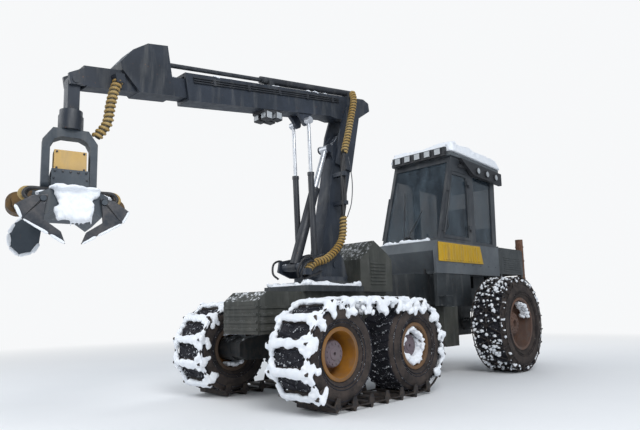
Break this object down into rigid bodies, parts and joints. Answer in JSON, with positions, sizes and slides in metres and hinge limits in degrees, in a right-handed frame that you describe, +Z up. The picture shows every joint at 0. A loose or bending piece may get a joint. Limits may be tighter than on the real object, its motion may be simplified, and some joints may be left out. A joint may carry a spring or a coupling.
{
  "type": "six-wheeled forestry harvester",
  "caption": "Articulated timber harvester with a tracked front bogie, chained rear wheels, a rear cab and a telescopic crane carrying a felling head.",
  "frame": {"origin": "on the ground, under the middle of the machine's outer box", "axes": "+X forward, towards the crane, +Y to the machine's left, +Z up"},
  "size_m": [10.1664, 2.7796, 4.708],
  "materials": {
    "tyre": "worn rubber",
    "track_steel": "rusty worn steel",
    "chain_steel": "rusty chain steel",
    "rim_ochre": "worn ochre paint",
    "rim_rust": "rusty paint",
    "frame_dark": "dirty satin paint",
    "nose_grey": "dirty satin paint",
    "cab_grey": "dirty satin paint",
    "panel_yellow": "satin paint",
    "lamp_black": "matte",
    "window_glass": "clear",
    "seat_cloth": "woven",
    "console_plastic": "matte",
    "hood_dark": "satin paint",
    "engine_iron": "cast",
    "stack_rust": "rusty",
    "crane_paint": "dirty satin paint",
    "cylinder_paint": "satin paint",
    "rod_chrome": "polished",
    "head_grey": "worn satin paint",
    "knife_steel": "worn steel",
    "feed_steel": "rusty steel"
  },
  "bodies": {
    "rear_frame": {"rear_frame": "frame_dark", "rear_axle": "frame_dark", "side_tanks": "nose_grey", "side_lockers": "frame_dark", "cab_steps": "frame_dark", "cab_base": "cab_grey", "side_panels": "panel_yellow", "cab_frame": "cab_grey", "cab_glass": "window_glass", "cab_roof": "cab_grey", "roof_lamps": "lamp_black", "operator_seat": "seat_cloth", "control_console": "console_plastic", "engine_hood": "hood_dark", "engine_block": "engine_iron", "exhaust_stack": "stack_rust"},
    "hood_lid": {"hood_lid": "hood_dark"},
    "cab_door": {"cab_door": "cab_grey", "door_glass": "window_glass"},
    "rear_wheel_l": {"rear_tyre_l": "tyre", "rear_rim_l": "rim_rust", "rear_chain_l": "chain_steel"},
    "rear_wheel_r": {"rear_tyre_r": "tyre", "rear_rim_r": "rim_rust", "rear_chain_r": "chain_steel"},
    "front_frame": {"front_frame": "nose_grey", "crane_deck": "frame_dark", "joint_housing": "nose_grey", "bogie_axle": "frame_dark", "bogie_beams": "frame_dark", "bogie_tyres": "tyre", "bogie_rims": "rim_ochre", "bogie_tracks": "track_steel"},
    "steer_barrel_l": {"steer_barrel_l": "cylinder_paint"},
    "steer_barrel_r": {"steer_barrel_r": "cylinder_paint"},
    "steer_rod_l": {"steer_rod_l": "rod_chrome"},
    "steer_rod_r": {"steer_rod_r": "rod_chrome"},
    "crane_post": {"crane_post": "crane_paint"},
    "lift_boom": {"lift_boom": "crane_paint"},
    "lift_barrel": {"lift_barrel": "cylinder_paint"},
    "lift_rod": {"lift_rod": "rod_chrome"},
    "stick_barrels": {"stick_barrels": "cylinder_paint"},
    "stick_rods": {"stick_rods": "rod_chrome"},
    "stick_boom": {"stick_boom": "crane_paint", "extension_barrel": "cylinder_paint", "boom_lamps": "lamp_black"},
    "telescope_boom": {"telescope_boom": "crane_paint", "extension_rod": "rod_chrome"},
    "tip_link": {"tip_link": "crane_paint"},
    "rotator": {"rotator": "crane_paint", "head_yoke": "head_grey"},
    "head_frame": {"head_frame": "head_grey", "valve_cover": "panel_yellow", "saw_box": "head_grey"},
    "knife_l": {"knife_l": "knife_steel"},
    "knife_r": {"knife_r": "knife_steel"},
    "feed_arm_l": {"feed_arm_l": "feed_steel"},
    "feed_arm_r": {"feed_arm_r": "feed_steel"}
  },
  "joints": [
    {"name": "steering", "type": "hinge", "parent": "rear_frame", "child": "front_frame", "pos_m": [-0.55316, 0, 1.15], "axis": [0, 0, 1], "range_deg": [-38, 38]},
    {"name": "rear_wheel_l_spin", "type": "hinge", "parent": "rear_frame", "child": "rear_wheel_l", "pos_m": [-2.82316, 1.09, 0.833], "axis": [0, 1, 0], "continuous": true},
    {"name": "rear_wheel_r_spin", "type": "hinge", "parent": "rear_frame", "child": "rear_wheel_r", "pos_m": [-2.82316, -1.09, 0.833], "axis": [0, 1, 0], "continuous": true},
    {"name": "cab_door_hinge", "type": "hinge", "parent": "rear_frame", "child": "cab_door", "pos_m": [-2.53316, 0.644, 2.95], "axis": [0, 0, 1], "range_deg": [0, 80]},
    {"name": "hood_lid_hinge", "type": "hinge", "parent": "rear_frame", "child": "hood_lid", "pos_m": [-3.60916, 0, 2.31], "axis": [0, 1, 0], "range_deg": [0, 65]},
    {"name": "crane_slew", "type": "hinge", "parent": "front_frame", "child": "crane_post", "pos_m": [0.84684, 0, 1.5603], "axis": [0, 0, 1], "range_deg": [-110, 110]},
    {"name": "boom_lift", "type": "hinge", "parent": "crane_post", "child": "lift_boom", "pos_m": [0.79684, 0, 1.8], "axis": [0, 1, 0], "range_deg": [-8, 35]},
    {"name": "stick_hinge", "type": "hinge", "parent": "lift_boom", "child": "stick_boom", "pos_m": [0.22684, 0, 4.3], "axis": [0, -1, 0], "range_deg": [-30, 20]},
    {"name": "boom_extension", "type": "slide", "parent": "stick_boom", "child": "telescope_boom", "axis": [0.986, 0, -0.1668], "range_m": [0, 1.3]},
    {"name": "tip_link_hinge", "type": "hinge", "parent": "telescope_boom", "child": "tip_link", "pos_m": [4.46905, 0, 3.56727], "axis": [0, 1, 0], "range_deg": [-70, 30]},
    {"name": "rotator_spin", "type": "hinge", "parent": "tip_link", "child": "rotator", "pos_m": [4.46905, 0, 3.18697], "axis": [0, 0, 1], "continuous": true},
    {"name": "head_tilt", "type": "hinge", "parent": "rotator", "child": "head_frame", "pos_m": [4.46905, 0, 2.47697], "axis": [0.9659, -0.2588, 0], "range_deg": [0, 90]},
    {"name": "knife_l_hinge", "type": "hinge", "parent": "head_frame", "child": "knife_l", "pos_m": [4.36776, 0.60721, 2.20697], "axis": [0.2588, 0.9659, 0], "range_deg": [0, 50]},
    {"name": "feed_arm_l_hinge", "type": "hinge", "parent": "head_frame", "child": "feed_arm_l", "pos_m": [4.17927, 0.07765, 2.34697], "axis": [0.2588, 0.9659, 0], "range_deg": [0, 30]},
    {"name": "knife_r_hinge", "type": "hinge", "parent": "head_frame", "child": "knife_r", "pos_m": [4.86038, 0.47521, 2.20697], "axis": [-0.2588, -0.9659, 0], "range_deg": [0, 50]},
    {"name": "feed_arm_r_hinge", "type": "hinge", "parent": "head_frame", "child": "feed_arm_r", "pos_m": [4.75883, -0.07765, 2.34697], "axis": [-0.2588, -0.9659, 0], "range_deg": [0, 30]},
    {"name": "steer_l_barrel_pin", "type": "hinge", "parent": "rear_frame", "child": "steer_barrel_l", "pos_m": [-1.13316, 0.27, 1.15], "axis": [0, 0, 1], "range_deg": [-19.58, 19.58]},
    {"name": "steer_l_rod_slide", "type": "slide", "parent": "steer_barrel_l", "child": "steer_rod_l", "axis": [0.9823, 0.1871, 0], "range_m": [-0.2455, 0.2455]},
    {"name": "steer_r_barrel_pin", "type": "hinge", "parent": "rear_frame", "child": "steer_barrel_r", "pos_m": [-1.13316, -0.27, 1.15], "axis": [0, 0, 1], "range_deg": [-19.58, 19.58]},
    {"name": "steer_r_rod_slide", "type": "slide", "parent": "steer_barrel_r", "child": "steer_rod_r", "axis": [0.9823, -0.1871, 0], "range_m": [-0.2455, 0.2455]},
    {"name": "lift_barrel_pin", "type": "hinge", "parent": "crane_post", "child": "lift_barrel", "pos_m": [1.37684, 0, 1.76], "axis": [0, 1, 0], "range_deg": [-7.48, 32.71]},
    {"name": "lift_rod_slide", "type": "slide", "parent": "lift_barrel", "child": "lift_rod", "axis": [-0.3511, 0, 0.9363], "range_m": [-0.3436, 0.0789]},
    {"name": "stick_barrel_pin", "type": "hinge", "parent": "lift_boom", "child": "stick_barrels", "pos_m": [1.12684, 0, 1.88], "axis": [0, -1, 0], "range_deg": [-5.54, 8.3]},
    {"name": "stick_rod_slide", "type": "slide", "parent": "stick_barrels", "child": "stick_rods", "axis": [0.032, 0, 0.9995], "range_m": [-0.4612, 0.3076]}
  ],
  "couplings": [
    {"joint": "steer_l_barrel_pin", "follows": "steering", "ratio": 0.51511},
    {"joint": "steer_l_rod_slide", "follows": "steering", "m_per_rad": -0.36945},
    {"joint": "steer_r_barrel_pin", "follows": "steering", "ratio": 0.51511},
    {"joint": "steer_r_rod_slide", "follows": "steering", "m_per_rad": 0.36945},
    {"joint": "lift_barrel_pin", "follows": "boom_lift", "ratio": 0.93424},
    {"joint": "lift_rod_slide", "follows": "boom_lift", "m_per_rad": -0.56168},
    {"joint": "stick_barrel_pin", "follows": "stick_hinge", "ratio": -0.2763},
    {"joint": "stick_rod_slide", "follows": "stick_hinge", "m_per_rad": 0.87984}
  ]
}
